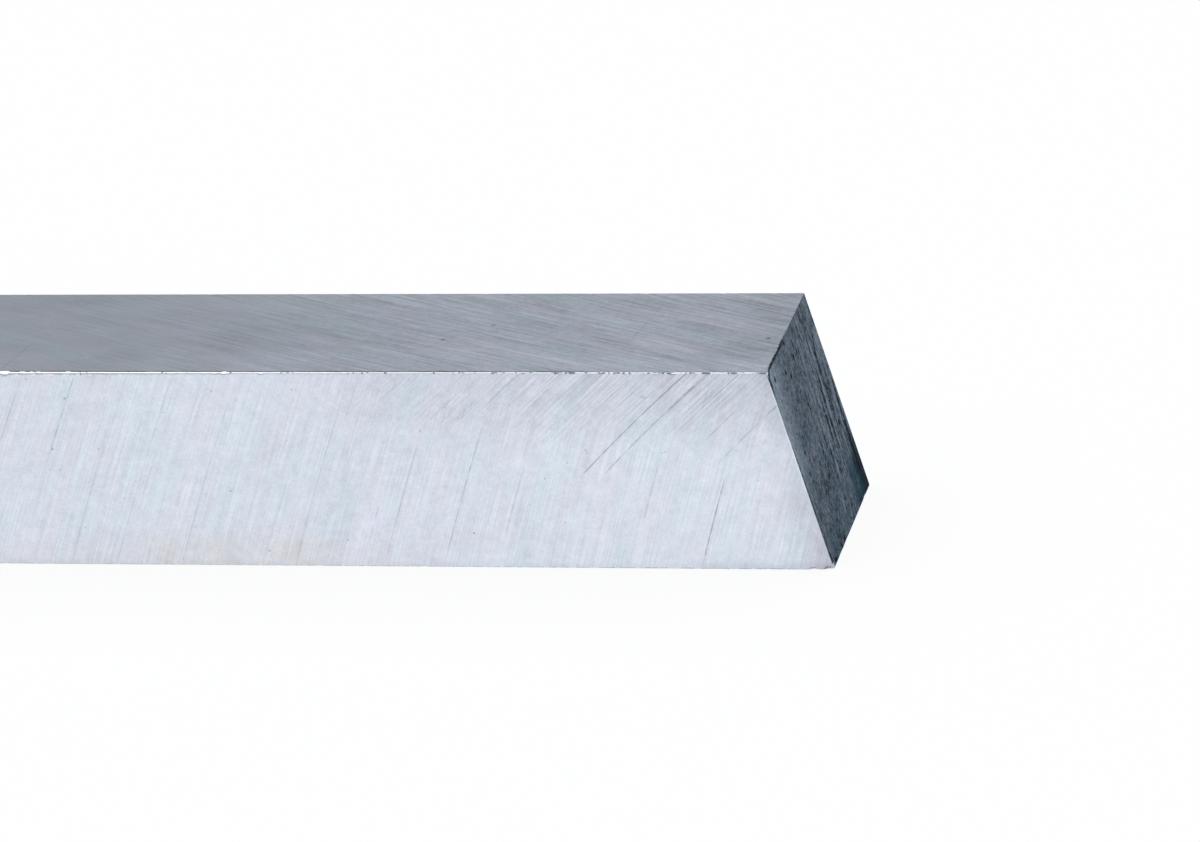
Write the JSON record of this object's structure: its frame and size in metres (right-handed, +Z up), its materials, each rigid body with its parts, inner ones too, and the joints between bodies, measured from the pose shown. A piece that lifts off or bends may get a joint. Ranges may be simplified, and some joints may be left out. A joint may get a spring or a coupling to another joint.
{
  "type": "lathe tool bit",
  "caption": "Square ground tool bit blank of hardened steel for a lathe: a plain bar with flat sides, both ends cut on the same bevel and every edge lightly broken.",
  "frame": {"origin": "on the base, at the middle of the bar's outline", "axes": "+X along the bar towards the end with the worn corners, +Y towards its back, +Z up"},
  "size_m": [0.1016, 0.0126, 0.0127],
  "materials": {
    "ground_steel": "bright ground steel with fine grinding lines across the faces"
  },
  "bodies": {
    "root": {"tool_bit": "ground_steel"}
  },
  "joints": []
}
